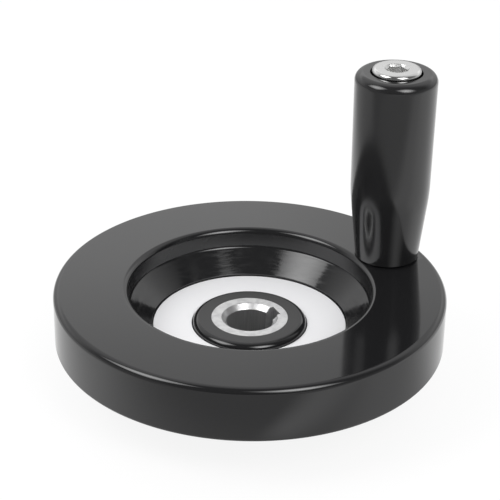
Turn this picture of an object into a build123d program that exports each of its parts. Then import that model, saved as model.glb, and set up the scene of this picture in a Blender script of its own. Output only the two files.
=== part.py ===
"""Solid-disc handwheel with a revolving crank grip, 100 mm across the rim.

A one-piece phenolic wheel is moulded round a keyed steel bush and a threaded insert. An aluminium
face plate lies in the bottom of its dish. A shoulder spindle screws into the insert, and the grip
turns freely on the spindle.

Frame, in millimetres: the origin is the centre of the hub's rear face, +Z runs up the bore towards
the dish, and +X points at the grip and at the keyway. Each piece goes to parts/NODE.step.
"""
import os
from math import radians, tan

from build123d import *

# ---------------------------------------------------------------- wheel moulding
WHEEL_DIAMETER = 100.0
RIM_HEIGHT = 14.2
RIM_TOP_EDGE = 1.6            # edge radius between the flat top and the outer wall
RIM_BACK_EDGE = 0.8
RIM_WIDTH = 17.55             # outer wall to where the lip's radius starts, across the flat top
DISH_LIP_EDGE = 1.45
DISH_WALL_DEPTH = 5.2         # steep wall, from the rim's top down to the crease
DISH_WALL_DRAFT = 1.0         # degrees from upright
DISH_CREASE_RADIUS = 1.0
PLATE_SEAT_DIAMETER = 50.2
PLATE_SINK = 0.5              # plate's face below the foot of the dish's sloping floor
WEB_THICKNESS = 5.2
RIM_BACK_WIDTH = 17.0         # outer wall to the slope behind the dish
BACK_CORNER_RADIUS = 4.0

# ---------------------------------------------------------------- hub and bush
HUB_LENGTH = 18.0
BOSS_RISE = 1.6               # hub's front face above the face plate; places the rim along the hub
BOSS_DIAMETER = 29.4          # round the bush, inside the dish
BOSS_EDGE = 1.7
HUB_REAR_DIAMETER = 27.0
HUB_REAR_DRAFT = 3.0          # degrees
HUB_REAR_EDGE = 1.0
HUB_ROOT_RADIUS = 2.5
BUSH_DIAMETER = 19.7
BORE_DIAMETER = 12.0
BORE_CHAMFER = 1.3
KEYWAY_WIDTH = 4.0
KEYWAY_DEPTH = 1.8            # past the bore's wall
BUSH_COLLAR = 2.5             # plain collar at each end of the bush
BUSH_KNURL_TEETH = 24
BUSH_KNURL_DEPTH = 0.6
BUSH_WAIST_WIDTH = 3.0
BUSH_WAIST_DEPTH = 1.2

# ---------------------------------------------------------------- face plate
PLATE_THICKNESS = 1.0
PLATE_DROP = 11.0             # plate's face below the rim's top
PLATE_OUTER_GAP = 0.3
PLATE_INNER_GAP = 0.2
PLATE_EDGE_BREAK = 0.1

# ---------------------------------------------------------------- crank handle
CRANK_INSET = 10.0            # grip's axis inside the rim's outer wall
GRIP_LENGTH = 51.2
GRIP_BASE_DIAMETER = 16.5
GRIP_KNEE_DIAMETER = 20.5
GRIP_TOP_DIAMETER = 21.1
GRIP_KNEE_HEIGHT = 18.2       # above the grip's base
GRIP_KNEE_RADIUS = 60.0
GRIP_TOP_EDGE = 2.2
GRIP_BASE_EDGE = 0.4
GRIP_BORE_CHAMFER = 0.4
GRIP_BASE_GAP = 0.3           # above the rim
SHANK_DIAMETER = 8.0
SHANK_CLEARANCE = 0.08        # radial, grip on shank
HEAD_DIAMETER = 12.5
HEAD_HEIGHT = 4.6
HEAD_TOP_EDGE = 0.9
HEAD_BASE_EDGE = 0.3
HEAD_PROUD = 1.1              # above the grip's top
HEAD_SIDE_GAP = 0.4           # radial, round the head
HEAD_UNDER_GAP = 0.15         # between the head and the grip's counterbore
SOCKET_ACROSS_FLATS = 5.0
SOCKET_DEPTH = 3.0
SOCKET_POINT_SLOPE = 30.0     # degrees from level, the drill's point under the hexagon
SOCKET_CHAMFER = 0.25         # cone at the mouth, outside the hexagon's corners
SOCKET_TURN = -22.0          # degrees, where the spindle stopped when it was tightened
THREAD_DIAMETER = 6.0
THREAD_LENGTH = 8.5
THREAD_END_CHAMFER = 0.6
INSERT_DIAMETER = 9.5
INSERT_LENGTH = 10.0
INSERT_COLLAR = 1.5
INSERT_KNURL_TEETH = 16
INSERT_KNURL_DEPTH = 0.4
INSERT_WAIST_WIDTH = 2.0
INSERT_WAIST_DEPTH = 0.7

# ---------------------------------------------------------------- sizes that follow
rim_r = WHEEL_DIAMETER / 2
crank_r = rim_r - CRANK_INSET
plate_top_z = HUB_LENGTH - BOSS_RISE
plate_seat_z = plate_top_z - PLATE_THICKNESS
rim_top_z = plate_top_z + PLATE_DROP
rim_back_z = rim_top_z - RIM_HEIGHT
web_back_z = plate_seat_z - WEB_THICKNESS
crease_z = rim_top_z - DISH_WALL_DEPTH
grip_base_z = rim_top_z + GRIP_BASE_GAP
grip_top_z = grip_base_z + GRIP_LENGTH
head_top_z = grip_top_z + HEAD_PROUD
head_base_z = head_top_z - HEAD_HEIGHT


def half_section(corners):
    """Closed outline in the XZ plane from (radius, height, edge radius) corners.

    An edge radius of 0 leaves the corner sharp.
    """
    outline = make_face(Polyline(*[(r, z) for r, z, _ in corners], close=True))
    for r, z, edge in corners:
        if edge > 0:
            corner = outline.vertices().sort_by_distance((r, z))[0]
            outline = fillet(corner, edge)
    return Plane.XZ * outline


def turned(corners):
    """Body of revolution about Z from half_section corners."""
    return revolve(half_section(corners), Axis.Z)


def knurled_blank(diameter, length, collar, teeth, depth, waist_width, waist_depth):
    """Round blank from z = 0 to length, with a knurl and a waist that a moulding grips.

    A plain collar stays at each end, so that the end faces are full circles.
    """
    radius = diameter / 2
    waist_low = (length - waist_width) / 2
    waist_high = (length + waist_width) / 2
    blank = turned([
        (0, 0, 0),
        (radius, 0, 0),
        (radius, waist_low - waist_depth, 0),
        (radius - waist_depth, waist_low, 0),
        (radius - waist_depth, waist_high, 0),
        (radius, waist_high + waist_depth, 0),
        (radius, length, 0),
        (0, length, 0),
    ])
    mouth = radius + depth
    vee = make_face(Polyline((radius - depth, 0), (mouth, -2 * depth), (mouth, 2 * depth), close=True))
    groove = Pos(0, 0, collar) * extrude(vee, length - 2 * collar)
    return blank - [Rot(0, 0, 360 / teeth * i) * groove for i in range(teeth)]


def bush_blank():
    """Outside of the hub bush, which also shapes its seat in the wheel."""
    return knurled_blank(
        BUSH_DIAMETER, HUB_LENGTH, BUSH_COLLAR, BUSH_KNURL_TEETH, BUSH_KNURL_DEPTH,
        BUSH_WAIST_WIDTH, BUSH_WAIST_DEPTH,
    )


def insert_blank():
    """Outside of the threaded insert, its top flush with the rim."""
    blank = knurled_blank(
        INSERT_DIAMETER, INSERT_LENGTH, INSERT_COLLAR, INSERT_KNURL_TEETH, INSERT_KNURL_DEPTH,
        INSERT_WAIST_WIDTH, INSERT_WAIST_DEPTH,
    )
    return Pos(crank_r, 0, rim_top_z - INSERT_LENGTH) * blank


def wheel_body():
    """Rim, dished web and hub in one moulding, with seats for the bush and the insert."""
    lip_turn = radians(90 - DISH_WALL_DRAFT)
    wall_r = rim_r - RIM_WIDTH - DISH_LIP_EDGE * tan(lip_turn / 2)
    crease_r = wall_r - DISH_WALL_DEPTH * tan(radians(DISH_WALL_DRAFT))
    seat_r = PLATE_SEAT_DIAMETER / 2
    boss_r = BOSS_DIAMETER / 2
    rear_r = HUB_REAR_DIAMETER / 2
    root_r = rear_r + web_back_z * tan(radians(HUB_REAR_DRAFT))
    back_r = rim_r - RIM_BACK_WIDTH
    disc = turned([
        (0, 0, 0),
        (rear_r, 0, HUB_REAR_EDGE),
        (root_r, web_back_z, HUB_ROOT_RADIUS),
        (seat_r, web_back_z, BACK_CORNER_RADIUS),
        (back_r, rim_back_z, BACK_CORNER_RADIUS),
        (rim_r, rim_back_z, RIM_BACK_EDGE),
        (rim_r, rim_top_z, RIM_TOP_EDGE),
        (wall_r, rim_top_z, DISH_LIP_EDGE),
        (crease_r, crease_z, DISH_CREASE_RADIUS),
        (seat_r, plate_top_z + PLATE_SINK, 0),
        (seat_r, plate_seat_z, 0),
        (boss_r, plate_seat_z, 0),
        (boss_r, HUB_LENGTH, BOSS_EDGE),
        (0, HUB_LENGTH, 0),
    ])
    return disc - bush_blank() - insert_blank()


def hub_bush():
    """Steel bush with a chamfered bore and a keyway that faces the grip."""
    bore_r = BORE_DIAMETER / 2
    mouth_r = bore_r + BORE_CHAMFER
    bore = turned([
        (0, 0, 0),
        (mouth_r, 0, 0),
        (bore_r, BORE_CHAMFER, 0),
        (bore_r, HUB_LENGTH - BORE_CHAMFER, 0),
        (mouth_r, HUB_LENGTH, 0),
        (0, HUB_LENGTH, 0),
    ])
    keyway = Box(
        bore_r + KEYWAY_DEPTH, KEYWAY_WIDTH, HUB_LENGTH,
        align=(Align.MIN, Align.CENTER, Align.MIN),
    )
    return bush_blank() - bore - keyway


def face_plate():
    """Flat aluminium ring that lies in the seat round the boss."""
    outer_r = PLATE_SEAT_DIAMETER / 2 - PLATE_OUTER_GAP
    inner_r = BOSS_DIAMETER / 2 + PLATE_INNER_GAP
    ring = Cylinder(outer_r, PLATE_THICKNESS, align=(Align.CENTER, Align.CENTER, Align.MIN))
    ring -= Cylinder(inner_r, PLATE_THICKNESS, align=(Align.CENTER, Align.CENTER, Align.MIN))
    top_edges = ring.faces().sort_by(Axis.Z)[-1].edges()
    return Pos(0, 0, plate_seat_z) * chamfer(top_edges, PLATE_EDGE_BREAK)


def handle_insert():
    """Brass insert with the spindle's thread, at its full diameter."""
    hole = Cylinder(THREAD_DIAMETER / 2, INSERT_LENGTH, align=(Align.CENTER, Align.CENTER, Align.MIN))
    return insert_blank() - Pos(crank_r, 0, rim_top_z - INSERT_LENGTH) * hole


def handle_spindle():
    """Shoulder screw: threaded end, shank and round head with a hexagon socket."""
    head_r = HEAD_DIAMETER / 2
    shank_r = SHANK_DIAMETER / 2
    thread_r = THREAD_DIAMETER / 2
    thread_end_z = rim_top_z - THREAD_LENGTH
    turned_blank = turned([
        (0, thread_end_z, 0),
        (thread_r - THREAD_END_CHAMFER, thread_end_z, 0),
        (thread_r, thread_end_z + THREAD_END_CHAMFER, 0),
        (thread_r, rim_top_z, 0),
        (shank_r, rim_top_z, 0),
        (shank_r, head_base_z, 0),
        (head_r, head_base_z, HEAD_BASE_EDGE),
        (head_r, head_top_z, HEAD_TOP_EDGE),
        (0, head_top_z, 0),
    ])
    flat_r = SOCKET_ACROSS_FLATS / 2
    hexagon = RegularPolygon(flat_r, 6, major_radius=False)
    socket = extrude(hexagon, -SOCKET_DEPTH)
    mouth_r = hexagon.radius + SOCKET_CHAMFER
    mouth = turned([
        (0, flat_r - mouth_r, 0),
        (flat_r, flat_r - mouth_r, 0),
        (mouth_r, 0, 0),
        (0, 0, 0),
    ])
    point = turned([
        (0, -SOCKET_DEPTH - flat_r * tan(radians(SOCKET_POINT_SLOPE)), 0),
        (flat_r, -SOCKET_DEPTH, 0),
        (0, -SOCKET_DEPTH, 0),
    ])
    tool = Pos(0, 0, head_top_z) * Rot(0, 0, SOCKET_TURN) * (socket + mouth + point)
    return Pos(crank_r, 0, 0) * (turned_blank - tool)


def handle_grip():
    """Phenolic grip: tapered foot, near-straight body and rounded top with a counterbore."""
    base_r = GRIP_BASE_DIAMETER / 2
    knee_r = GRIP_KNEE_DIAMETER / 2
    top_r = GRIP_TOP_DIAMETER / 2
    bore_r = SHANK_DIAMETER / 2 + SHANK_CLEARANCE
    pocket_r = HEAD_DIAMETER / 2 + HEAD_SIDE_GAP
    pocket_z = head_base_z - HEAD_UNDER_GAP
    grip = turned([
        (bore_r, grip_base_z + GRIP_BORE_CHAMFER, 0),
        (bore_r + GRIP_BORE_CHAMFER, grip_base_z, 0),
        (base_r, grip_base_z, GRIP_BASE_EDGE),
        (knee_r, grip_base_z + GRIP_KNEE_HEIGHT, GRIP_KNEE_RADIUS),
        (top_r, grip_top_z, GRIP_TOP_EDGE),
        (pocket_r, grip_top_z, 0),
        (pocket_r, pocket_z, 0),
        (bore_r, pocket_z, 0),
    ])
    return Pos(crank_r, 0, 0) * grip


PIECES = {
    "wheel_body": wheel_body,
    "hub_bush": hub_bush,
    "face_plate": face_plate,
    "handle_insert": handle_insert,
    "handle_spindle": handle_spindle,
    "handle_grip": handle_grip,
}

os.makedirs("parts", exist_ok=True)
for node, build_piece in PIECES.items():
    export_step(build_piece(), f"parts/{node}.step")
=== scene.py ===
# %% [markdown]
# # A machine handwheel with a revolving crank grip
#
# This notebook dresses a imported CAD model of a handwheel. The real object is a black phenolic disc,
# moulded and polished, with a steel bush in its hub, an aluminium face plate in its dish and a grip
# that spins on a plated spindle. All of it is turned or moulded round an axis, so nearly every piece
# here is one profile carried round a circle.
#
# The CAD solids already have the right sizes. What they lack for a close look is a fine surface: on
# polished black plastic the reflections are the whole picture, and a reflection shows every facet.
# So each piece that is seen is made again as a dense grid, from the sizes of the frame.

import math

import bpy
import numpy as np
from mathutils import Matrix, Quaternion, Vector


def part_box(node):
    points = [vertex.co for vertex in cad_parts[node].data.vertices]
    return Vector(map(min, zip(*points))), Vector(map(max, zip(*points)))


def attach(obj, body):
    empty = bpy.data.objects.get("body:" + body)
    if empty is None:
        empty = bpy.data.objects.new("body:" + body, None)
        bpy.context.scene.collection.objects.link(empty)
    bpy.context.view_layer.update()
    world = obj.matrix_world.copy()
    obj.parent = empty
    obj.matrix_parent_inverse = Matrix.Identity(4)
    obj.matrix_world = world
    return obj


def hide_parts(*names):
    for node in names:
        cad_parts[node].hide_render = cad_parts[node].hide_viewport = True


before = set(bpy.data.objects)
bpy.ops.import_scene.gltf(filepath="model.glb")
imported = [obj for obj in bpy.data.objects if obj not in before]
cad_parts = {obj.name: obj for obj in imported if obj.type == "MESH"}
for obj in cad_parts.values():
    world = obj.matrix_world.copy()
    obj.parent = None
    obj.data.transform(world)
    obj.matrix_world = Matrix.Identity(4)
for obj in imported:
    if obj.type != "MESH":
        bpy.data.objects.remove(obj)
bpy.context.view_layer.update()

# %% [markdown]
# ## Sizes
#
# Blender works in metres. Profiles are drawn in millimetres here, as on a workshop drawing, and made
# metres when a mesh is filled. The main sizes are read from the frame's own boxes, so this notebook
# follows the CAD model. What a box can't tell, such as an edge radius or the slope of the dish, is a
# named value.

# %% Read the main sizes from the frame
MM = 0.001


def read_box(node):
    """Lowest and highest corner of a CAD node, as two numpy arrays in millimetres."""
    low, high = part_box(node)
    return np.array(low) / MM, np.array(high) / MM


wheel_high = read_box("wheel_body")[1]
bush_high = read_box("hub_bush")[1]
plate_low, plate_high = read_box("face_plate")
grip_low, grip_high = read_box("handle_grip")
spindle_low, spindle_high = read_box("handle_spindle")
insert_low, insert_high = read_box("handle_insert")

rim_r = wheel_high[0]
rim_top = wheel_high[2]
hub_top = bush_high[2]
plate_top = plate_high[2]
plate_seat = plate_low[2]
grip_base = grip_low[2]
grip_top = grip_high[2]
head_top = spindle_high[2]
crank_r = (spindle_low[0] + spindle_high[0]) / 2
print(f"rim: radius {rim_r:.2f} mm, top at {rim_top:.2f} mm")
print(f"crank: radius {crank_r:.2f} mm, top of the grip at {grip_top:.2f} mm")

# %% [markdown]
# ## A profile with rounded corners
#
# A turner draws such a part as a half section: a few corners, each with its edge radius. The same
# list of corners makes the surface here. Between two corners the line is straight, and at each corner
# an arc touches both lines. A pair of extra points close to each arc keeps the shading of a flat
# face flat, because the normals of a mesh are shared by all faces round a point.
#
# Even an edge that looks sharp is broken a little on a real part, and that is what glints.

# %% Rounded profile
EDGE_BREAK = 0.06     # mm, edge radius of a corner that is called sharp
ARC_STEP = math.radians(8.0)    # turn of one step along an arc
ARC_CHORD = 0.6       # mm, longest step along an arc
STRAIGHT = 0.002      # radians, a turn too small to be a corner
GUARD = 0.05          # mm, from the end of an arc to its extra point
ARC_SHARE = 0.8       # of the shorter line at a corner, the most that its arc may take
GUARD_SHARE = 0.2     # of what the arc leaves of that line, the most for the extra point


def rounded(corners, closed=True):
    """Half section as an array of (radius, height) points, in millimetres.

    Each corner is (radius, height, edge radius). Where the line turns by the angle t, the arc of
    radius e starts e * tan(t / 2) before the corner and ends as far after it, and its centre lies
    e / cos(t / 2) from the corner, on the line that halves the angle. An open profile starts and
    ends on the axis.
    """
    line = np.array([corner[:2] for corner in corners], float)
    count = len(line)
    points = []
    for i, (here, edge) in enumerate(zip(line, [corner[2] for corner in corners])):
        if not closed and i in (0, count - 1):
            points.append(here[None])
            continue
        to_last = line[i - 1] - here
        to_next = line[(i + 1) % count] - here
        reach = min(np.linalg.norm(to_last), np.linalg.norm(to_next))
        to_last /= np.linalg.norm(to_last)
        to_next /= np.linalg.norm(to_next)
        turn = math.pi - math.acos(np.clip(to_last @ to_next, -1, 1))
        if turn < STRAIGHT:
            points.append(here[None])
            continue
        edge = min(edge or EDGE_BREAK, ARC_SHARE * reach / math.tan(turn / 2))
        run = edge * math.tan(turn / 2)
        halfway = to_last + to_next
        centre = here + halfway / np.linalg.norm(halfway) * edge / math.cos(turn / 2)
        steps = 2 if edge <= EDGE_BREAK else math.ceil(max(turn / ARC_STEP, edge * turn / ARC_CHORD))
        start = here + to_last * run - centre
        sign = np.sign(to_last[0] * to_next[1] - to_last[1] * to_next[0])
        angle = -sign * np.linspace(0, turn, steps + 1)[:, None]
        side = np.array([-start[1], start[0]])
        arc = centre + start * np.cos(angle) + side * np.sin(angle)
        guard = min(GUARD, GUARD_SHARE * (reach - run))
        points.append(arc[:1] + to_last * guard)
        points.append(arc)
        points.append(arc[-1:] + to_next * guard)
    return np.concatenate(points)


# %% [markdown]
# ## From a profile to a surface
#
# A turned surface is a function of two parameters: the place along the profile and the angle round
# the axis. Both run over a grid, the points come out as one array, and each cell of the grid becomes
# one face. Because it is a function, a piece can depart from the circle where the real one does: the
# radius is passed through `shape`, which may cut a keyway, a knurl or a hexagon into it.

# %% Turned surface
SHARP_ANGLE = math.radians(30.0)    # between two faces, past which their edge is shaded sharp
CM3 = 1e6                           # cubic centimetres in a cubic metre


def turned_points(profile, angles, centre, shape=None):
    """Points of a turned surface, an array of rows along the profile by columns round the axis.

    A point at radius r, height z and angle a is (centre + r cos a, r sin a, z). `shape`, if given,
    takes the arrays r, z and a and returns the radius that the piece really has there.
    """
    r, z = profile[:, :1], profile[:, 1:]
    a = angles[None]
    radius = np.broadcast_to(r, (len(profile), len(angles)))
    if shape is not None:
        radius = shape(radius, z, a)
    return np.stack([centre + radius * np.cos(a), radius * np.sin(a), z + 0 * a], axis=-1)


def grid_faces(rows, columns, closed):
    """Corner indices of the cells of a grid whose columns wrap round, and rows too if closed.

    The cell at row i and column j has the corners (i, j), (i, j+1), (i+1, j+1) and (i+1, j).
    """
    i = np.arange(rows if closed else rows - 1)[:, None]
    j = np.arange(columns)[None]
    across, along = (j + 1) % columns, (i + 1) % rows
    cells = [i * columns + j, i * columns + across, along * columns + across, along * columns + j]
    return np.stack([np.broadcast_to(c, (len(i), columns)) for c in cells], axis=-1).reshape(-1, 4)


def fill_mesh(name, points, quads, triangles):
    """Mesh object from arrays of points and corner indices, smooth but for its sharp edges."""
    triangles = np.asarray(triangles, int).reshape(-1, 3)
    corners = np.concatenate([quads.ravel(), triangles.ravel()])
    sizes = np.concatenate([np.full(len(quads), 4), np.full(len(triangles), 3)])
    mesh = bpy.data.meshes.new(name)
    mesh.vertices.add(len(points))
    mesh.vertices.foreach_set("co", (points * MM).astype(np.float32).ravel())
    mesh.loops.add(len(corners))
    mesh.loops.foreach_set("vertex_index", corners.astype(np.int32))
    mesh.polygons.add(len(sizes))
    mesh.polygons.foreach_set("loop_start", (np.cumsum(sizes) - sizes).astype(np.int32))
    mesh.update(calc_edges=True)
    mesh.validate()
    mesh.polygons.foreach_set("use_smooth", np.ones(len(sizes), bool))
    piece = bpy.data.objects.new(name, mesh)
    bpy.context.scene.collection.objects.link(piece)
    return piece


def volume_cm3(piece):
    """Volume inside a closed mesh: a third of the sum of each face's area times the distance of its
    plane from the origin. It comes out negative if the faces point inwards."""
    mesh = piece.data
    count = len(mesh.polygons)
    area, normal, middle = np.empty(count), np.empty(count * 3), np.empty(count * 3)
    mesh.polygons.foreach_get("area", area)
    mesh.polygons.foreach_get("normal", normal)
    mesh.polygons.foreach_get("center", middle)
    return float((area * (normal * middle).reshape(-1, 3).sum(axis=1)).sum() / 3 * CM3)


def turned(name, corners, angles, centre=0.0, closed=True, shape=None):
    """A turned piece. A closed profile makes a ring, an open one starts and ends on the axis."""
    profile = rounded(corners, closed)
    body = profile if closed else profile[1:-1]
    points = turned_points(body, angles, centre, shape).reshape(-1, 3)
    rows, columns = len(body), len(angles)
    quads = grid_faces(rows, columns, closed)
    triangles = []
    if not closed:
        j = np.arange(columns)
        across = (j + 1) % columns
        first = np.full(columns, len(points))
        last = (rows - 1) * columns
        poles = [[centre, 0, profile[0, 1]], [centre, 0, profile[-1, 1]]]
        points = np.concatenate([points, poles])
        triangles = np.concatenate([
            np.stack([first, across, j], axis=-1),
            np.stack([first + 1, last + j, last + across], axis=-1),
        ])
    piece = fill_mesh(name, points, quads, triangles)
    if volume_cm3(piece) < 0:
        piece.data.flip_normals()
    piece.data.set_sharp_from_angle(angle=SHARP_ANGLE)
    faces = len(piece.data.polygons)
    print(f"{name}: {rows} x {columns} grid, {faces} faces, {volume_cm3(piece):.2f} cm3")
    return piece


def circle(steps):
    """Angles of a whole turn in equal steps."""
    return np.linspace(0, 2 * math.pi, steps, endpoint=False)


# %% [markdown]
# ## The wheel
#
# On the real wheel this is one moulding: a thick rim with a flat top, a dish with a steep wall and a
# conical floor, a flat seat for the face plate, and a hub that stands up in the dish and reaches out
# behind. It could be a boolean of cylinders and cones, but then the edge radii would have to be added
# with bevels, which seldom meet cleanly. One profile has them all. Its edges are what draws this
# object: the rim's two bright lines are only edges with radii of 1.6 mm and 1.45 mm.
#
# The bush is moulded in, so the hole in the hub has the bush's own outside, knurl and waist.

# %% Sizes of the wheel that the boxes don't tell
RIM_HEIGHT = 14.2
RIM_WIDTH = 17.55
RIM_TOP_EDGE = 1.6
RIM_BACK_EDGE = 0.8
RIM_BACK_WIDTH = 17.0
DISH_LIP_EDGE = 1.45
DISH_WALL_DEPTH = 5.2
DISH_WALL_DRAFT = math.radians(1.0)
DISH_CREASE_EDGE = 1.0
CONE_FOOT = 0.5
PLATE_SEAT_R = 25.1
WEB_THICKNESS = 5.2
BACK_CORNER_EDGE = 4.0
BOSS_R = 14.7
BOSS_EDGE = 1.7
HUB_REAR_R = 13.5
HUB_REAR_DRAFT = math.radians(3.0)
HUB_REAR_EDGE = 1.0
HUB_ROOT_EDGE = 2.5

BUSH_R = bush_high[1]
COLLAR = 2.5
KNURL_TEETH = 24
KNURL_DEPTH = 0.6
WAIST_WIDTH = 3.0
WAIST_DEPTH = 1.2

rim_back = rim_top - RIM_HEIGHT
web_back = plate_seat - WEB_THICKNESS
wall_r = rim_r - RIM_WIDTH - DISH_LIP_EDGE * math.tan((math.pi / 2 - DISH_WALL_DRAFT) / 2)
crease_r = wall_r - DISH_WALL_DEPTH * math.tan(DISH_WALL_DRAFT)
root_r = HUB_REAR_R + web_back * math.tan(HUB_REAR_DRAFT)
print(f"dish: wall radius {wall_r:.2f} mm, crease radius {crease_r:.2f} mm")


# %% Knurl and waist of the bush, shared by the bush and the hole that it fills
def bush_outside(radius, z, a):
    """Radius of the bush's outside. Where the profile is at the bush's radius and between the two
    collars, vee grooves are cut: the groove's radius grows by one millimetre for each millimetre
    along the arc from its middle."""
    pitch = 2 * math.pi / KNURL_TEETH
    along_arc = np.abs((a + pitch / 2) % pitch - pitch / 2) * BUSH_R
    groove = BUSH_R - KNURL_DEPTH + along_arc
    between = (z > COLLAR) & (z < hub_top - COLLAR)
    near = (radius > BUSH_R - 2 * WAIST_DEPTH) & (radius < BUSH_R + 2 * EDGE_BREAK)
    return np.where(between & near, np.minimum(radius, groove), radius)


def bush_side():
    """Corners of the bush's outside from its rear end to its front end."""
    waist_low = (hub_top - WAIST_WIDTH) / 2
    waist_high = (hub_top + WAIST_WIDTH) / 2
    step = EDGE_BREAK / 2
    return [
        (BUSH_R, COLLAR - step, 0),
        (BUSH_R, COLLAR + step, 0),
        (BUSH_R, waist_low - WAIST_DEPTH, 0),
        (BUSH_R - WAIST_DEPTH, waist_low, 0),
        (BUSH_R - WAIST_DEPTH, waist_high, 0),
        (BUSH_R, waist_high + WAIST_DEPTH, 0),
        (BUSH_R, hub_top - COLLAR - step, 0),
        (BUSH_R, hub_top - COLLAR + step, 0),
    ]


# %% Turn the wheel
ROUND = 384           # columns of a fine piece; a multiple of the knurl's teeth


def wheel_corners():
    """Closed half section of the moulding, from the bush's rear end outwards and back."""
    return [
        (BUSH_R, 0, 0),
        (HUB_REAR_R, 0, HUB_REAR_EDGE),
        (root_r, web_back, HUB_ROOT_EDGE),
        (PLATE_SEAT_R, web_back, BACK_CORNER_EDGE),
        (rim_r - RIM_BACK_WIDTH, rim_back, BACK_CORNER_EDGE),
        (rim_r, rim_back, RIM_BACK_EDGE),
        (rim_r, rim_top, RIM_TOP_EDGE),
        (wall_r, rim_top, DISH_LIP_EDGE),
        (crease_r, rim_top - DISH_WALL_DEPTH, DISH_CREASE_EDGE),
        (PLATE_SEAT_R, plate_top + CONE_FOOT, 0),
        (PLATE_SEAT_R, plate_seat, 0),
        (BOSS_R, plate_seat, 0),
        (BOSS_R, hub_top, BOSS_EDGE),
        (BUSH_R, hub_top, 0),
        *reversed(bush_side()),
    ]


wheel = turned("wheel_moulding", wheel_corners(), circle(ROUND), shape=bush_outside)

# %% [markdown]
# ## The seat of the threaded insert
#
# A brass insert is moulded into the rim below the grip. Its hole isn't round the wheel's own axis, so
# no turned profile can hold it, and here a boolean is the plain way: a second turned piece, of the
# insert's size, is taken out of the wheel. The cut crosses only flat faces, so it harms no shading.

# %% Sink the insert's seat
SEAT_CLEAR = 0.02     # mm, so that the seat's wall and the insert's don't share a surface
SEAT_OVERSHOOT = 1.0  # mm, so that the tool comes out of the rim's top
SEAT_COLUMNS = 96


def sink(piece, tool):
    """Takes the tool's solid out of the piece and deletes the tool."""
    cut = piece.modifiers.new("cut", "BOOLEAN")
    cut.operation = "DIFFERENCE"
    cut.solver = "EXACT"
    cut.object = tool
    depsgraph = bpy.context.evaluated_depsgraph_get()
    result = bpy.data.meshes.new_from_object(piece.evaluated_get(depsgraph))
    piece.modifiers.clear()
    result.name = piece.name
    piece.data = result
    bpy.data.objects.remove(tool)


seat_r = (insert_high[0] - insert_low[0]) / 2 + SEAT_CLEAR
seat_low, seat_high = insert_low[2], rim_top + SEAT_OVERSHOOT
seat_tool = turned(
    "seat_tool",
    [(0, seat_low, 0), (seat_r, seat_low, 0), (seat_r, seat_high, 0), (0, seat_high, 0)],
    circle(SEAT_COLUMNS), centre=crank_r, closed=False,
)
sink(wheel, seat_tool)
print(f"wheel with its seat: {len(wheel.data.polygons)} faces, {volume_cm3(wheel):.2f} cm3")

# %% [markdown]
# ## The bush
#
# A steel turning: a knurled outside that the moulding grips, a bore with a wide chamfer at each end
# and a keyway broached through it. The keyway could be a boolean too, but seen from the axis the
# bore's outline has only one radius at each angle, even in the slot, so it can be written down: the
# larger of the bore's radius and the slot's. The slot's radius is its floor's distance divided by the
# cosine of the angle, or half its width divided by the sine, whichever is nearer.

# %% Turn the bush with its keyway
BORE_R = 6.0
BORE_CHAMFER = 1.3
KEYWAY_WIDTH = 4.0
KEYWAY_DEPTH = 1.8
SLOT_DRAFT = 0.02     # keeps the rows of the slot's wall apart
SLOT_WIDEST = 1.0     # radians, keeps the cosine in its floor from being nothing
SLOT_LEAST = 1e-3     # radians, keeps the sine in its side from being nothing
SLOT_COLUMNS = 40     # between the slot's corner at the bore and its corner at the mouth
bore_mouth_r = BORE_R + BORE_CHAMFER
keyway_floor = BORE_R + KEYWAY_DEPTH


def bush_shape(radius, z, a):
    """Outside as in bush_outside. Inside, the larger of the turned radius and the keyway's."""
    off_axis = np.minimum(a, 2 * math.pi - a)
    floor = keyway_floor / np.cos(np.minimum(off_axis, SLOT_WIDEST))
    side = KEYWAY_WIDTH / 2 / np.sin(np.clip(off_axis, SLOT_LEAST, math.pi / 2))
    slot = np.minimum(floor, side) + SLOT_DRAFT * (radius - BORE_R)
    inside = (radius < bore_mouth_r + 2 * GUARD) & (off_axis < math.pi / 2)
    return np.where(inside, np.maximum(radius, slot), bush_outside(radius, z, a))


floor_corner = math.atan2(KEYWAY_WIDTH / 2, keyway_floor)
mouth_corner = math.asin(KEYWAY_WIDTH / 2 / bore_mouth_r)
bore_corner = math.asin(KEYWAY_WIDTH / 2 / BORE_R)
slot_columns = np.linspace(mouth_corner, bore_corner, SLOT_COLUMNS)
slot_columns = np.concatenate([slot_columns, [floor_corner]])
bush_columns = np.concatenate([circle(ROUND), slot_columns, 2 * math.pi - slot_columns])
bush_columns = np.unique(bush_columns)
bush_corners = [
    (BUSH_R, 0, 0),
    *bush_side(),
    (BUSH_R, hub_top, 0),
    (bore_mouth_r, hub_top, 0),
    (BORE_R, hub_top - BORE_CHAMFER, 0),
    (BORE_R, BORE_CHAMFER, 0),
    (bore_mouth_r, 0, 0),
]
bush = turned("keyed_bush", bush_corners, bush_columns, shape=bush_shape)

# %% [markdown]
# ## The face plate
#
# A stamped aluminium ring, a millimetre thick, glued into the seat of the dish. It is a little
# smaller than its seat and clears the boss, so a fine dark line runs round both of its edges.

# %% Turn the face plate
plate_outer_r = plate_high[0]
PLATE_INNER_GAP = 0.2
PLATE_EDGE = 0.1
plate_inner_r = BOSS_R + PLATE_INNER_GAP
plate = turned(
    "face_ring",
    [
        (plate_inner_r, plate_seat, 0),
        (plate_outer_r, plate_seat, 0),
        (plate_outer_r, plate_top, PLATE_EDGE),
        (plate_inner_r, plate_top, PLATE_EDGE),
    ],
    circle(ROUND),
)

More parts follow.
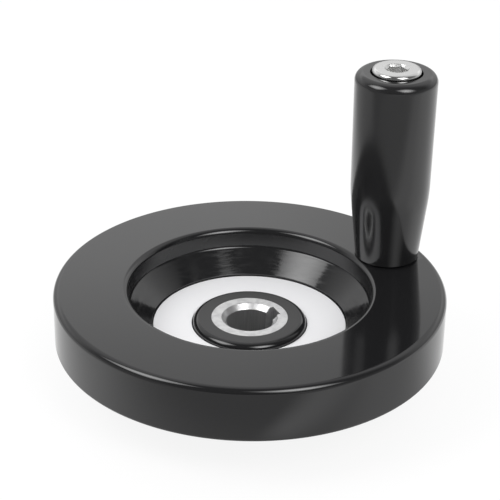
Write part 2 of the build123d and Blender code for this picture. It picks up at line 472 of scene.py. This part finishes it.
# %% [markdown]
# ## The grip
#
# Moulded phenolic like the wheel. It widens from its foot to a knee a third of the way up, runs
# nearly straight from there and ends in a rounded shoulder, with a counterbore for the head of the
# spindle. It turns about its own axis, so its profile is carried round the crank's axis.
#
# Its foot stays where the CAD model has it, clear of the rim by a few tenths of a millimetre, because
# the grip has to turn freely.

# %% Turn the grip
GRIP_BASE_R = 8.25
GRIP_KNEE_R = 10.25
GRIP_TOP_R = 10.55
GRIP_KNEE_HEIGHT = 18.2
GRIP_KNEE_EDGE = 60.0
GRIP_TOP_EDGE = 2.2
GRIP_BASE_EDGE = 0.4
GRIP_BORE_CHAMFER = 0.4
GRIP_COLUMNS = 256
SHANK_R = 4.0
SHANK_CLEAR = 0.08
HEAD_R = 6.25
HEAD_HEIGHT = 4.6
HEAD_SIDE_GAP = 0.4
HEAD_UNDER_GAP = 0.15
POCKET_EDGE = 0.15
head_base = head_top - HEAD_HEIGHT
grip_bore_r = SHANK_R + SHANK_CLEAR
pocket_r = HEAD_R + HEAD_SIDE_GAP
pocket_floor = head_base - HEAD_UNDER_GAP
grip = turned(
    "crank_grip",
    [
        (grip_bore_r, grip_base + GRIP_BORE_CHAMFER, 0),
        (grip_bore_r + GRIP_BORE_CHAMFER, grip_base, 0),
        (GRIP_BASE_R, grip_base, GRIP_BASE_EDGE),
        (GRIP_KNEE_R, grip_base + GRIP_KNEE_HEIGHT, GRIP_KNEE_EDGE),
        (GRIP_TOP_R, grip_top, GRIP_TOP_EDGE),
        (pocket_r, grip_top, POCKET_EDGE),
        (pocket_r, pocket_floor, 0),
        (grip_bore_r, pocket_floor, 0),
    ],
    circle(GRIP_COLUMNS), centre=crank_r,
)

# %% [markdown]
# ## The spindle
#
# A shoulder screw: thread, shank and a round head with a hexagon socket. The socket is a function of
# the angle again, the distance to the nearest flat divided by the cosine of the angle from its middle.
# A cone breaks the socket's mouth, and where the cone is wider than the hexagon it wins, which gives
# the scallops of a real socket. The thread is a vee whose depth depends on height minus a pitch for
# each turn. It is hidden in the insert, but the piece is a whole screw, so it has it.

# %% Turn the spindle
HEAD_TOP_EDGE = 0.9
HEAD_BASE_EDGE = 0.3
SOCKET_FLAT_R = 2.5
SOCKET_DEPTH = 3.0
SOCKET_CHAMFER = 0.25
SOCKET_TURN = math.radians(-22.0)
SOCKET_POINT_SLOPE = math.radians(30.0)
THREAD_R = 3.0
THREAD_PITCH = 1.0
THREAD_CUT = 0.54
THREAD_END_CHAMFER = 0.6
THREAD_RELIEF = 1.0
THREAD_ROW = 0.0625   # mm from one row of the thread's points to the next
THREAD_FADE = 2       # the vee fades out over a pitch divided by this
HALF_FLAT = math.radians(30)    # half the angle that one flat of the hexagon takes up
ON_FACE = EDGE_BREAK / 4        # mm, how near to a face a point counts as on it
SPINDLE_COLUMNS = 360
socket_mouth_r = SOCKET_FLAT_R / math.cos(HALF_FLAT) + SOCKET_CHAMFER
thread_low = spindle_low[2] + THREAD_END_CHAMFER
thread_high = rim_top - THREAD_RELIEF


def spindle_shape(radius, z, a):
    """In the socket, the larger of the turned radius and the hexagon's. On the thread, the turned
    radius less a vee that climbs one pitch in each turn and fades out at both ends."""
    sixth = math.pi / 3
    off_flat = (a - SOCKET_TURN) % sixth - sixth / 2
    hexagon = SOCKET_FLAT_R / np.cos(off_flat)
    in_socket = (radius > SOCKET_FLAT_R - ON_FACE) & (radius < socket_mouth_r)
    in_socket &= z > head_top - SOCKET_DEPTH - EDGE_BREAK
    phase = z / THREAD_PITCH - a / (2 * math.pi)
    vee = THREAD_CUT * (1 - 2 * np.abs(phase % 1 - 0.5))
    from_end = np.minimum(z - thread_low, thread_high - z)
    fade = np.clip(from_end / THREAD_PITCH * THREAD_FADE, 0, 1)
    threaded = np.where(radius > THREAD_R - ON_FACE, radius - vee * fade, radius)
    outside = np.where(z < rim_top, threaded, radius)
    return np.where(in_socket, np.maximum(radius, hexagon), outside)


thread_heights = np.arange(thread_low + THREAD_ROW, thread_high, THREAD_ROW)
thread_rows = [(THREAD_R, z, 0) for z in thread_heights]
spindle = turned(
    "crank_spindle",
    [
        (0, spindle_low[2], 0),
        (THREAD_R - THREAD_END_CHAMFER, spindle_low[2], 0),
        (THREAD_R, thread_low, 0),
        *thread_rows,
        (THREAD_R, rim_top, 0),
        (SHANK_R, rim_top, 0),
        (SHANK_R, head_base, 0),
        (HEAD_R, head_base, HEAD_BASE_EDGE),
        (HEAD_R, head_top, HEAD_TOP_EDGE),
        (socket_mouth_r, head_top, 0),
        (SOCKET_FLAT_R, head_top - socket_mouth_r + SOCKET_FLAT_R, 0),
        (SOCKET_FLAT_R, head_top - SOCKET_DEPTH, 0),
        (0, head_top - SOCKET_DEPTH - SOCKET_FLAT_R * math.tan(SOCKET_POINT_SLOPE), 0),
    ],
    circle(SPINDLE_COLUMNS), centre=crank_r, closed=False, shape=spindle_shape,
)

# %% [markdown]
# ## Bodies and the CAD nodes
#
# The wheel carries everything but the grip, which spins on the spindle. Each piece rides on the body
# that carries it and stands for the CAD node that it replaces, which is hidden.
# The brass insert is hidden in the rim and under the grip, so its CAD node stays as it is.

# %% Put each piece on its body
SPOTS = [
    (wheel, "wheel", "wheel_body", "phenolic"),
    (bush, "wheel", "hub_bush", "bush_steel"),
    (plate, "wheel", "face_plate", "plate_aluminium"),
    (spindle, "wheel", "handle_spindle", "spindle_chrome"),
    (grip, "grip", "handle_grip", "phenolic"),
]
for piece, body, node, slot in SPOTS:
    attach(piece, body)
    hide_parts(node)
print("pieces:", [piece.name for piece, *_ in SPOTS])

# %% [markdown]
# ## Materials as expressions
#
# A material is a small graph of nodes. Written out node by node it is hard to read, so a class wraps
# one output of a node. Arithmetic on it adds Math nodes, with numbers on either side, and `node` adds
# every other kind: its settings come first, then the values or links of its inputs.

# %% Wire
class Wire:
    """One output of a node. + - * / ** on it add Math nodes and give another Wire."""

    def __init__(self, tree, output=None):
        self.tree, self.output = tree, output

    def node(self, kind, settings=None, sockets=None):
        """Adds a node to the same tree and returns its first output as a Wire."""
        made = self.tree.nodes.new(kind)
        for name, value in (settings or {}).items():
            setattr(made, name, value)
        for name, value in (sockets or {}).items():
            if isinstance(value, Wire):
                self.tree.links.new(value.output, made.inputs[name])
            else:
                made.inputs[name].default_value = value
        return Wire(self.tree, made.outputs[0] if made.outputs else None)

    def __getitem__(self, name):
        """Another output of the same node."""
        return Wire(self.tree, self.output.node.outputs[name])

    def math(self, operation, *values):
        """Adds a Math node that works on numbers or Wires."""
        return self.node("ShaderNodeMath", {"operation": operation}, dict(enumerate(values)))

    def __add__(self, other):
        return self.math("ADD", self, other)

    def __sub__(self, other):
        return self.math("SUBTRACT", self, other)

    def __mul__(self, other):
        return self.math("MULTIPLY", self, other)

    def __truediv__(self, other):
        return self.math("DIVIDE", self, other)

    def __pow__(self, other):
        return self.math("POWER", self, other)

    def __rpow__(self, other):
        return self.math("POWER", other, self)

    def __rsub__(self, other):
        return self.math("SUBTRACT", other, self)

    def __rtruediv__(self, other):
        return self.math("DIVIDE", other, self)

    __radd__, __rmul__ = __add__, __mul__

    def smooth(self, low, high):
        """0 below `low`, 1 above `high` and a smooth step between them; `low` may be the higher."""
        sockets = {"Value": self, "From Min": low, "From Max": high}
        return self.node("ShaderNodeMapRange", {"interpolation_type": "SMOOTHSTEP"}, sockets)


def new_material(name):
    """An empty material and a Wire to start from."""
    material = bpy.data.materials.new(name)
    material.use_nodes = True
    material.node_tree.nodes.clear()
    return material, Wire(material.node_tree)


def finish_material(start, shader):
    """Links a shader to the material's output."""
    start.node("ShaderNodeOutputMaterial", None, {"Surface": shader})


def wear(piece, material):
    """Gives a piece this material alone."""
    piece.data.materials.clear()
    piece.data.materials.append(material)
    print(f"{piece.name}: {material.name}, {len(material.node_tree.nodes)} nodes")


# %% [markdown]
# ## Round the axis
#
# Turned and polished parts are marked along circles. A noise that changes fast with the radius and
# the height but slowly with the angle gives such marks. The angle itself jumps from a full turn to
# nothing, so the noise gets the direction from the axis instead, which has no jump.

# %% Marks along circles
RING_DETAIL = 3.0


def around(start, axis_x=0.0):
    """Place round an upright axis at x = axis_x: the radius, the height and the direction's x and y."""
    place = start.node("ShaderNodeTexCoord")["Object"]
    parts = start.node("ShaderNodeSeparateXYZ", None, {"Vector": place})
    x, y, z = parts["X"] - axis_x, parts["Y"], parts["Z"]
    radius = (x * x + y * y) ** 0.5
    return radius, z, x / radius, y / radius


def ring_marks(start, place, across, along):
    """Noise of 0 to 1 in rings: `across` marks to the metre, and `along` changes in a turn."""
    radius, z, x, y = place
    sockets = {"X": radius * across, "Y": x * along, "Z": y * along + z * across}
    spot = start.node("ShaderNodeCombineXYZ", None, sockets)
    sockets = {"Vector": spot, "Scale": 1.0, "Detail": RING_DETAIL}
    return start.node("ShaderNodeTexNoise", None, sockets)


def cloud(start, size, detail):
    """Even noise of 0 to 1 whose patches are about `size` metres wide."""
    place = start.node("ShaderNodeTexCoord")["Object"]
    sockets = {"Vector": place, "Scale": 1 / size, "Detail": detail}
    return start.node("ShaderNodeTexNoise", None, sockets)


def bump(start, height, depth):
    """Normal of a surface whose height is `height` times `depth` metres."""
    sockets = {"Height": height, "Distance": depth, "Strength": 1.0}
    return start.node("ShaderNodeBump", None, sockets)["Normal"]


def finish_principled(material, start, sockets):
    """Ends a material in one Principled shader with these sockets and returns it."""
    finish_material(start, start.node("ShaderNodeBsdfPrincipled", None, sockets))
    return material


# %% [markdown]
# ## Polished phenolic
#
# Moulded phenolic is deep black with a hard gloss. It bends light more than most plastics, so its
# index is 1.6. Nothing shows on it but reflections: what makes it look real is that they aren't
# perfect. The moulding is slightly wavy, polishing has left hairlines along circles, and handling has
# left patches that are a little duller.
#
# Nor is the polish the same all over. `dull` and `buffed` are functions of the place round the axis
# that say where it is less, so one material serves the wheel and the grip.

# %% Phenolic for the wheel and the grip
WHEEL_BLACK = (0.0112, 0.0112, 0.0119, 1)
GRIP_BLACK = (0.0145, 0.0145, 0.0151, 1)
PHENOLIC_INDEX = 1.6
MICRON = 1e-6
WAVE_DEPTH = 1.2e-6             # metres, and so is the next one
BUFF_DEPTH = 2.2e-5
HAIRLINE_HEIGHT = 0.02          # microns
POLISH = 0.05                   # roughness where nothing is added to it
SMUDGE_DULLNESS = 0.035
HAIRLINE_DULLNESS = 0.02
BUFF_DULLNESS = 0.08
SMUDGES = (0.45, 0.75)          # noise at which a smudge and a streak start and are full
STREAKS = (0.46, 0.62)


def phenolic(name, axis_x, wave_size, black, dull, buffed=None):
    """Black phenolic. `dull` gives, from the place round the axis, what is added to the roughness,
    and `buffed` how strong the streaks of the buff are there."""
    material, start = new_material(name)
    place = around(start, axis_x)
    hairline = ring_marks(start, place, across=5200, along=1.5)
    smudge = cloud(start, size=0.018, detail=4.0).smooth(*SMUDGES)
    roughness = POLISH + smudge * SMUDGE_DULLNESS + hairline * HAIRLINE_DULLNESS + dull(*place)
    wave = cloud(start, wave_size, detail=1.0)
    height = hairline * HAIRLINE_HEIGHT + wave * (WAVE_DEPTH / MICRON)
    if buffed:
        where = buffed(*place)
        streak = ring_marks(start, place, across=1400, along=8.0)
        height = height + streak * where * (BUFF_DEPTH / MICRON)
        roughness = roughness + streak.smooth(*STREAKS) * where * BUFF_DULLNESS
    return finish_principled(material, start, {
        "Base Color": black, "Roughness": roughness, "IOR": PHENOLIC_INDEX,
        "Normal": bump(start, height, MICRON),
    })


# %% [markdown]
# ## Where the polish is less
#
# The buff hardly reaches the steep wall of the dish, and the face of the boss is turned flush with
# the bush, so both are duller. On the sloping floor of the dish the buff has left streaks along
# circles. Hands have dulled the side of the grip and made it a shade greyer, while its rounded top
# has kept its gloss. Each place is a mask, made of smooth steps on the radius and the height. A step
# is a pair here: where the mask is still nothing and where it is full.

# %% Masks for the polish
WALL_DULLNESS = 0.2
FACE_DULLNESS = 0.25
CONE_DULLNESS = 0.02
GRIP_DULLNESS = 0.1
CONE_INNER = (0.0245, 0.0262)   # metres, as all the steps here
CONE_OUTER = (0.0325, 0.031)
CONE_LOW = (0.014, 0.0155)
CONE_HIGH = (0.0224, 0.0216)
WALL_OUTER = (0.036, 0.034)
WALL_FADE_LOW, WALL_FADE_HIGH = 0.5e-3, 0.6e-3
FACE_OUTER = (0.016, 0.015)
FACE_FADE = 0.06                # mm below the face, where its mask starts


def on_cone(radius, z, x, y):
    """The sloping floor of the dish, away from its crease and its foot."""
    across = radius.smooth(*CONE_INNER) * radius.smooth(*CONE_OUTER)
    return across * z.smooth(*CONE_LOW) * z.smooth(*CONE_HIGH)


def unpolished(radius, z, x, y):
    """What the wall of the dish, the face of the boss and the dish's floor add to the roughness."""
    wall_low = (rim_top - DISH_WALL_DEPTH) * MM
    wall_high = (rim_top - DISH_LIP_EDGE) * MM
    wall = z.smooth(wall_low, wall_low + WALL_FADE_LOW)
    wall = wall * z.smooth(wall_high + WALL_FADE_HIGH, wall_high) * radius.smooth(*WALL_OUTER)
    face = z.smooth((hub_top - FACE_FADE) * MM, hub_top * MM) * radius.smooth(*FACE_OUTER)
    cone = on_cone(radius, z, x, y)
    return wall * WALL_DULLNESS + face * FACE_DULLNESS + cone * CONE_DULLNESS


def handled(radius, z, x, y):
    """What the side of the grip, below its rounded top, adds to the roughness."""
    return z.smooth(grip_top * MM, (grip_top - GRIP_TOP_EDGE) * MM) * GRIP_DULLNESS


wear(wheel, phenolic(
    "wheel phenolic", axis_x=0.0, wave_size=0.012, black=WHEEL_BLACK, dull=unpolished, buffed=on_cone,
))
wear(grip, phenolic(
    "grip phenolic", axis_x=crank_r * MM, wave_size=0.009, black=GRIP_BLACK, dull=handled,
))

# %% [markdown]
# ## Turned steel
#
# The bush is faced and bored on a lathe, and the tool leaves a fine groove for each turn. Seen from
# any side these rings spread a reflection across themselves, so the marks go into the normal and the
# roughness, and the grain between them stays fine.
#
# Bare steel is never even. It has small stains and shallow dents, which are deepest in the chamfer,
# where the tool chatters. In the bore the stains are upright streaks, from the shafts pushed into it.

# %% Steel for the bush
STEEL_PALE = (0.84, 0.84, 0.84, 1)
STEEL_DIM = (0.70, 0.70, 0.705, 1)
STAINS = (0.35, 0.7)            # noise at which a stain starts and is full
TURNED = 0.25                   # roughness of the steel where nothing is added to it
RING_DULLNESS = 0.08
GRAIN_DULLNESS = 0.04
STAIN_DULLNESS = 0.08
CHAMFER_DULLNESS = 0.03
RING_DEPTH = 1.5e-6             # metres, and the next three are multiples of it
GRAIN_DEPTH = 0.4
DENTS = 6.0
CHATTER = 34.0
BORE_FADE, CHAMFER_FADE = 0.2, 0.1    # mm over which the masks of bore and chamfer fade
material, start = new_material("bush steel")
place = around(start)
rings = ring_marks(start, place, across=9000, along=2.0)
grain = cloud(start, size=0.0004, detail=3.0)
stain = cloud(start, size=0.0016, detail=4.0)
upright = ring_marks(start, place, across=150, along=26.0)
radius = place[0]
bored = radius.smooth((BORE_R + BORE_FADE) * MM, BORE_R * MM)
chamfer = radius.smooth(bore_mouth_r * MM, (bore_mouth_r - CHAMFER_FADE) * MM) * (1 - bored)
streaked = (upright * bored + stain * (1 - bored)).smooth(*STAINS)
mix = {0: streaked, 6: STEEL_PALE, 7: STEEL_DIM}
colour = start.node("ShaderNodeMix", {"data_type": "RGBA"}, mix)[2]
roughness = TURNED + rings * RING_DULLNESS + grain * GRAIN_DULLNESS
roughness = roughness + stain * STAIN_DULLNESS + chamfer * CHAMFER_DULLNESS
height = rings + grain * GRAIN_DEPTH + stain * (DENTS + chamfer * CHATTER)
wear(bush, finish_principled(material, start, {
    "Base Color": colour, "Metallic": 1.0, "Roughness": roughness,
    "Normal": bump(start, height, RING_DEPTH),
}))

# %% [markdown]
# ## Satin aluminium
#
# The face plate is stamped from sheet and etched matt before it is anodised. The etch is a fine even
# grain without direction, and it is what makes the plate look nearly white from every side.

# %% Aluminium for the face plate
ALUMINIUM = (0.885, 0.885, 0.9, 1)
ETCHED = 0.5                    # roughness of the etch where nothing is added to it
ETCH_DULLNESS = 0.06
PATCH_DULLNESS = 0.03
ETCH_DEPTH = 4e-6               # metres
OXIDE = 0.2                     # how metallic it looks through the film of oxide
material, start = new_material("plate aluminium")
grain = cloud(start, size=0.00022, detail=2.0)
patch = cloud(start, size=0.009, detail=3.0)
wear(plate, finish_principled(material, start, {
    "Base Color": ALUMINIUM, "Metallic": OXIDE,
    "Roughness": ETCHED + grain * ETCH_DULLNESS + patch * PATCH_DULLNESS,
    "Normal": bump(start, grain, ETCH_DEPTH),
}))

# %% [markdown]
# ## Bright plating and brass
#
# The spindle is chrome plated over turned steel, so it is nearly a mirror, with the faint rings of
# the turning under it and the small dents of a part that was tumbled in a drum. Its socket is
# punched, which tears the steel, so it is much duller. The insert is plain turned brass.

# %% Plating for the spindle, brass for the insert
PLATING = (0.74, 0.74, 0.735, 1)
BRASS = (0.72, 0.56, 0.28, 1)
SOCKET_DULLNESS = 0.22
SOCKET_OUTER = (0.0034, 0.003)      # metres, where its mask is still nothing and where it is full
HAZE_LEAST, HAZE_MORE = 0.7, 0.6    # parts of the roughness without haze, and added where it is full


def turned_metal(name, colour, axis_x, roughness, ring_depth, dents=1.0, dull=None):
    """Bare or plated turned metal. `dents` is the depth of its small dents against that of its rings,
    and `dull` gives, from the place round the axis, what is added to the roughness."""
    material, start = new_material(name)
    place = around(start, axis_x)
    rings = ring_marks(start, place, across=7000, along=2.0)
    haze = cloud(start, size=0.0014, detail=4.0)
    roughness = roughness * (HAZE_LEAST + haze * HAZE_MORE)
    if dull:
        roughness = roughness + dull(*place)
    return finish_principled(material, start, {
        "Base Color": colour, "Metallic": 1.0, "Roughness": roughness,
        "Normal": bump(start, rings + haze * dents, ring_depth),
    })


def in_socket(radius, z, x, y):
    """What the socket adds to the roughness."""
    return radius.smooth(*SOCKET_OUTER) * SOCKET_DULLNESS


wear(spindle, turned_metal(
    "spindle plating", PLATING, crank_r * MM, roughness=0.13, ring_depth=3e-7, dents=40.0,
    dull=in_socket,
))
wear(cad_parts["handle_insert"], turned_metal(
    "insert brass", BRASS, crank_r * MM, roughness=0.25, ring_depth=1e-6,
))

# %% [markdown]
# ## Camera
#
# The camera looks down on the wheel from the side away from the grip's reach, from about four wheel
# widths away. The numbers are its azimuth round the wheel's axis, its rise above the horizon, its
# distance from the axis at the height of the rim's underside, and how far it leans to one side. The
# point that it looks at lies a little higher, and a hair to the left of the axis.

# %% Place the camera
CAMERA_AZIMUTH = math.radians(-26.237)
CAMERA_RISE = math.radians(30.616)
CAMERA_REACH = 0.421181
CAMERA_LEAN = math.radians(0.846)
CAMERA_LENS = 116.925
CAMERA_SENSOR = 36.0
CAMERA_CLIP = (0.02, 20.0)
AIM_ABOVE = 0.024174
AIM_SIDE = -0.000149
underside = rim_back * MM


def direction(azimuth, elevation):
    """Unit vector from the wheel: azimuth 0 points to the camera, a quarter turn to its right."""
    turn = CAMERA_AZIMUTH + azimuth
    level = math.cos(elevation)
    return Vector((math.sin(turn) * level, -math.cos(turn) * level, math.sin(elevation)))


to_right = direction(math.pi / 2, 0)
eye = direction(0, CAMERA_RISE) * CAMERA_REACH + Vector((0, 0, underside))
aim = to_right * AIM_SIDE + Vector((0, 0, AIM_ABOVE + underside))
ahead = (aim - eye).normalized()
right = ahead.cross(Vector((0, 0, 1))).normalized()
above = right.cross(ahead)
across = right * math.cos(CAMERA_LEAN) + above * math.sin(CAMERA_LEAN)
above = above * math.cos(CAMERA_LEAN) - right * math.sin(CAMERA_LEAN)

camera = bpy.data.objects.new("camera", bpy.data.cameras.new("camera"))
bpy.context.scene.collection.objects.link(camera)
camera.data.sensor_width = CAMERA_SENSOR
camera.data.lens = CAMERA_LENS
camera.data.clip_start, camera.data.clip_end = CAMERA_CLIP
turn = Matrix((across, above, -ahead)).transposed()
camera.matrix_world = Matrix.Translation(eye) @ turn.to_4x4()
bpy.context.scene.camera = camera
print(f"camera at {tuple(round(v, 3) for v in eye)} m")

# %% [markdown]
# ## Light
#
# Black gloss shows the studio rather than itself. Two large softboxes stand left and right of the
# camera and draw the bright lines on the edges. A softbox is brightest in its middle, so each of them
# dims towards its sides, which gives those lines soft ends.
#
# Between the softboxes the studio is darker, and behind the wheel it is nearly white, so a flat face
# seen at a low angle mirrors pale and one turned to the camera mirrors dark. Close to the horizon the
# back of the studio is dim again, and a band right of its middle is a quarter dimmer than the rest.
# The world shader holds that: its strength depends on the direction alone. To the camera it is plain
# white, and light that has already spread from a matt surface meets a little more of it, as in a room
# with pale walls.
#
# An area lamp's brightness is its power over pi times its area, so the power is worked out from the
# brightness wanted, in which 1 is white.

# %% Two softboxes
LAMP_REACH = 1.2                    # metres from the point that the lamps face
LAMP_AIM = Vector((0, 0, 0.03))
# Azimuth in degrees to the camera's right, elevation above the floor, roll; width and height in
# metres; `core` is the brightness in the middle, and `fall` how fast it dims, as in `soften`.
SOFTBOXES = {
    "left softbox": dict(
        azimuth=-72.4, elevation=48.5, roll=-8.6, width=0.78, height=0.79, core=5.75, fall=1.0,
    ),
    "right softbox": dict(
        azimuth=31.0, elevation=42.5, roll=21.7, width=0.75, height=0.91, core=7.1, fall=1.55,
    ),
}


def soften(light, fall):
    """Dims a lamp by exp(-fall * r^2), where r is 0 in its middle and 1 at the middle of each side."""
    light.use_nodes = True
    light.node_tree.nodes.clear()
    start = Wire(light.node_tree)
    place = start.node("ShaderNodeNewGeometry")["Parametric"]
    parts = start.node("ShaderNodeSeparateXYZ", None, {"Vector": place})
    across, up = parts["X"] * 2 - 1, parts["Y"] * 2 - 1
    dimming = math.e ** ((across * across + up * up) * -fall)
    emission = start.node("ShaderNodeEmission", None, {"Strength": dimming})
    start.node("ShaderNodeOutputLight", None, {"Surface": emission})


for name, box in SOFTBOXES.items():
    light = bpy.data.lights.new(name, "AREA")
    light.shape = "RECTANGLE"
    light.size, light.size_y = box["width"], box["height"]
    light.energy = box["core"] * math.pi * box["width"] * box["height"]
    soften(light, box["fall"])
    lamp = bpy.data.objects.new(name, light)
    towards = direction(math.radians(box["azimuth"]), math.radians(box["elevation"]))
    lamp.location = LAMP_AIM + towards * LAMP_REACH
    facing = (-towards).to_track_quat("-Z", "Y")
    lamp.rotation_euler = (facing @ Quaternion((0, 0, 1), math.radians(box["roll"]))).to_euler()
    bpy.context.scene.collection.objects.link(lamp)
    print(f"{name}: {light.energy:.1f} W")

# %% The studio round the wheel
ROOM = 0.12                     # strengths, in which 1 is white
BACK_WALL = 0.66
SWEEP = 0.37                    # a paler band across the back wall
SIDE_WALLS = 0.26               # low down, all round but behind the camera
FILL = 0.33                     # more, for light that has spread from a matt surface
HORIZON = 0.3                   # part of the back wall's strength that is left at the horizon
RIGHT_DIMMING = 0.24            # part that the back wall loses right of its middle
HORIZON_RISE = (-0.04, 0.4)     # steps along a direction: upwards, away from the camera, or rightwards
BACK_STARTS = (-0.1, 0.5)
SWEEP_BEHIND = (0.3, 0.9)
SWEEP_TOP = (0.56, 0.46)
SWEEP_FOOT = (0.3, 0.44)
DIM_STARTS = (-0.02, 0.13)
DIM_ENDS = (0.35, 0.2)
SIDES_TOP = (0.574, 0.0)
SIDES_BEHIND = (-1.0, -0.3)


def reach_along(place, towards):
    """How far `place` reaches along a unit vector, which is their dot product."""
    sockets = {0: place, 1: tuple(towards)}
    return place.node("ShaderNodeVectorMath", {"operation": "DOT_PRODUCT"}, sockets)["Value"]


world = bpy.data.worlds.new("studio")
bpy.context.scene.world = world
world.use_nodes = True
world.node_tree.nodes.clear()
start = Wire(world.node_tree)
look = start.node("ShaderNodeTexCoord")["Generated"]
away = -direction(0, 0)
behind, beside = reach_along(look, away), reach_along(look, to_right)
height = start.node("ShaderNodeSeparateXYZ", None, {"Vector": look})["Z"]
horizon = HORIZON + (1 - HORIZON) * height.smooth(*HORIZON_RISE)
back_wall = BACK_WALL * behind.smooth(*BACK_STARTS) * horizon
sweep = SWEEP * behind.smooth(*SWEEP_BEHIND) * height.smooth(*SWEEP_TOP) * height.smooth(*SWEEP_FOOT)
dimmed = 1 - RIGHT_DIMMING * beside.smooth(*DIM_STARTS) * beside.smooth(*DIM_ENDS)
side_walls = SIDE_WALLS * height.smooth(*SIDES_TOP) * behind.smooth(*SIDES_BEHIND)
studio = ROOM + (back_wall + sweep) * dimmed + side_walls
path = start.node("ShaderNodeLightPath")
seen = path["Is Camera Ray"]
strength = (studio + FILL * path["Is Diffuse Ray"]) * (1 - seen) + seen
background = start.node("ShaderNodeBackground", None, {"Color": (1, 1, 1, 1), "Strength": strength})
start.node("ShaderNodeOutputWorld", None, {"Surface": background})
print(f"studio: {len(world.node_tree.nodes)} nodes")

# %% [markdown]
# ## Floor
#
# A pale sheet, wide enough to fill the view from every side. It is one hair lower than the hub's rear
# face, so that the two don't share a plane.

# %% Lay the floor
FLOOR_REACH = 4000.0            # mm
FLOOR_DROP = 0.02
FLOOR_SPOKES = 96
floor_rings = np.array([200.0, 1000.0, FLOOR_REACH])
floor_profile = np.stack([floor_rings, np.full(len(floor_rings), -FLOOR_DROP)], axis=-1)
floor_points = turned_points(floor_profile, circle(FLOOR_SPOKES), 0.0).reshape(-1, 3)
middle_point = len(floor_points)
spoke = np.arange(FLOOR_SPOKES)
floor = fill_mesh(
    "floor", np.concatenate([floor_points, [[0, 0, -FLOOR_DROP]]]),
    grid_faces(len(floor_rings), FLOOR_SPOKES, False)[:, ::-1],
    np.stack([np.full(FLOOR_SPOKES, middle_point), spoke, (spoke + 1) % FLOOR_SPOKES], axis=-1),
)
print(f"floor: {len(floor.data.polygons)} faces, {2 * FLOOR_REACH * MM:.0f} m across")

# %% [markdown]
# ## The floor's tones
#
# To the camera the floor is nearly white by itself and keeps a soft share of real light, so that the
# wheel still has its shadow on it. To light that has spread from a matt surface it is plain pale card.
#
# What glossy surfaces mirror of it is painted light and shade, as uneven as the floor of a studio. It
# has a painted shadow under the wheel and close in front of it, is painted dimmer to the left and far
# off, and has the wheel's painted shade at the right. A painted fan of light from the right softbox
# lies across it. None of it is brighter than white.

# %% Painted light and shade of the floor in reflections
FLOOR_CARD = (0.45, 0.45, 0.45, 1)
FLOOR_SHARE = (0.12, 0.12, 0.12, 1)
FLOOR_GLOW = 0.88
# Strengths of the painted light and shade that mirrors see in the floor: painted shade in front and at
# the left, painted light far off and in the fan.
FLOOR_FRONT = 0.37              # strength in front of the wheel, in which 1 is the floor behind it
FLOOR_AFAR = 0.13               # strength added behind it and well in front of it
FLOOR_LEFT = 0.38               # parts lost at the left, far off and in the wheel's shade
FLOOR_EDGE = 0.65
FLOOR_SHADE = 0.35
FLOOR_PAINTED_POOL = 1.3                # part added in the fan of light
FRONT_ENDS = (-0.085, -0.03)    # steps in metres: behind the axis, right of it or outwards from it
AFAR_FRONT = (-0.16, -0.4)
AFAR_BEHIND = (0.03, 0.1)
UNDER_WHEEL = (0.038, 0.056)
FAR_OFF = (0.5, 1.4)
LEFT_STARTS = (-0.07, -0.11)
FAN_TIP = (0.069, 0.01)         # metres in front of the axis and left of it
FAN_NEAR = (-0.48, -0.15)       # slopes of the fan's two sides, seen from its tip
FAN_FAR = (0.18, -0.15)
FAN_STARTS = (0.0, 0.02)
SHADE_FRONT = (-0.062, -0.028)
SHADE_BEHIND = (0.01, -0.025)
SHADE_STARTS = (0.03, 0.06)
SHADE_ENDS = (0.12, 0.09)
material, start = new_material("floor card")
place = start.node("ShaderNodeTexCoord")["Object"]
parts = start.node("ShaderNodeSeparateXYZ", None, {"Vector": place})
outwards = (parts["X"] * parts["X"] + parts["Y"] * parts["Y"]) ** 0.5
behind, beside = reach_along(place, away), reach_along(place, to_right)
# Painted light and shade: a painted shadow under and before the wheel, painted dimming far off and to
# the left, a painted fan of light and the wheel's painted shade.
painted_floor_light = FLOOR_FRONT + (1 - FLOOR_FRONT) * behind.smooth(*FRONT_ENDS)
painted_floor_light = painted_floor_light + FLOOR_AFAR * (behind.smooth(*AFAR_FRONT) + behind.smooth(*AFAR_BEHIND))
painted_floor_light = painted_floor_light * outwards.smooth(*UNDER_WHEEL) * (1 - FLOOR_EDGE * outwards.smooth(*FAR_OFF))
painted_floor_light = painted_floor_light * (1 - FLOOR_LEFT * beside.smooth(*LEFT_STARTS))
fan = (behind + FAN_TIP[0]) / (beside + FAN_TIP[1])
painted_light_pool = fan.smooth(*FAN_NEAR) * fan.smooth(*FAN_FAR) * beside.smooth(*FAN_STARTS)
shade = behind.smooth(*SHADE_FRONT) * behind.smooth(*SHADE_BEHIND)
shade = shade * beside.smooth(*SHADE_STARTS) * outwards.smooth(*SHADE_ENDS)
painted_floor_light = painted_floor_light * (1 + FLOOR_PAINTED_POOL * painted_light_pool) * (1 - FLOOR_SHADE * shade)
painted_floor_light = painted_floor_light.math("MINIMUM", painted_floor_light, 1 / FLOOR_GLOW)

# %% Material of the floor
path = start.node("ShaderNodeLightPath")
camera_ray = path["Is Camera Ray"]
mirror_ray = path["Is Glossy Ray"] + path["Is Transmission Ray"]
# In mirror rays the floor's glow carries the painted light and shade worked out above.
glowing = FLOOR_GLOW * (camera_ray + mirror_ray * painted_floor_light)
glow = start.node("ShaderNodeEmission", None, {"Strength": glowing})
card = start.node("ShaderNodeBsdfDiffuse", None, {"Color": FLOOR_CARD})
share = start.node("ShaderNodeBsdfDiffuse", None, {"Color": FLOOR_SHARE})
sheet = start.node("ShaderNodeMixShader", None, {"Fac": camera_ray + mirror_ray, 1: card, 2: share})
finish_material(start, start.node("ShaderNodeAddShader", None, {0: glow, 1: sheet}))
wear(floor, material)

# %% [markdown]
# ## Finish
#
# The picture keeps its plain tones.

# %% Finish
bpy.context.scene.view_settings.view_transform = "Standard"
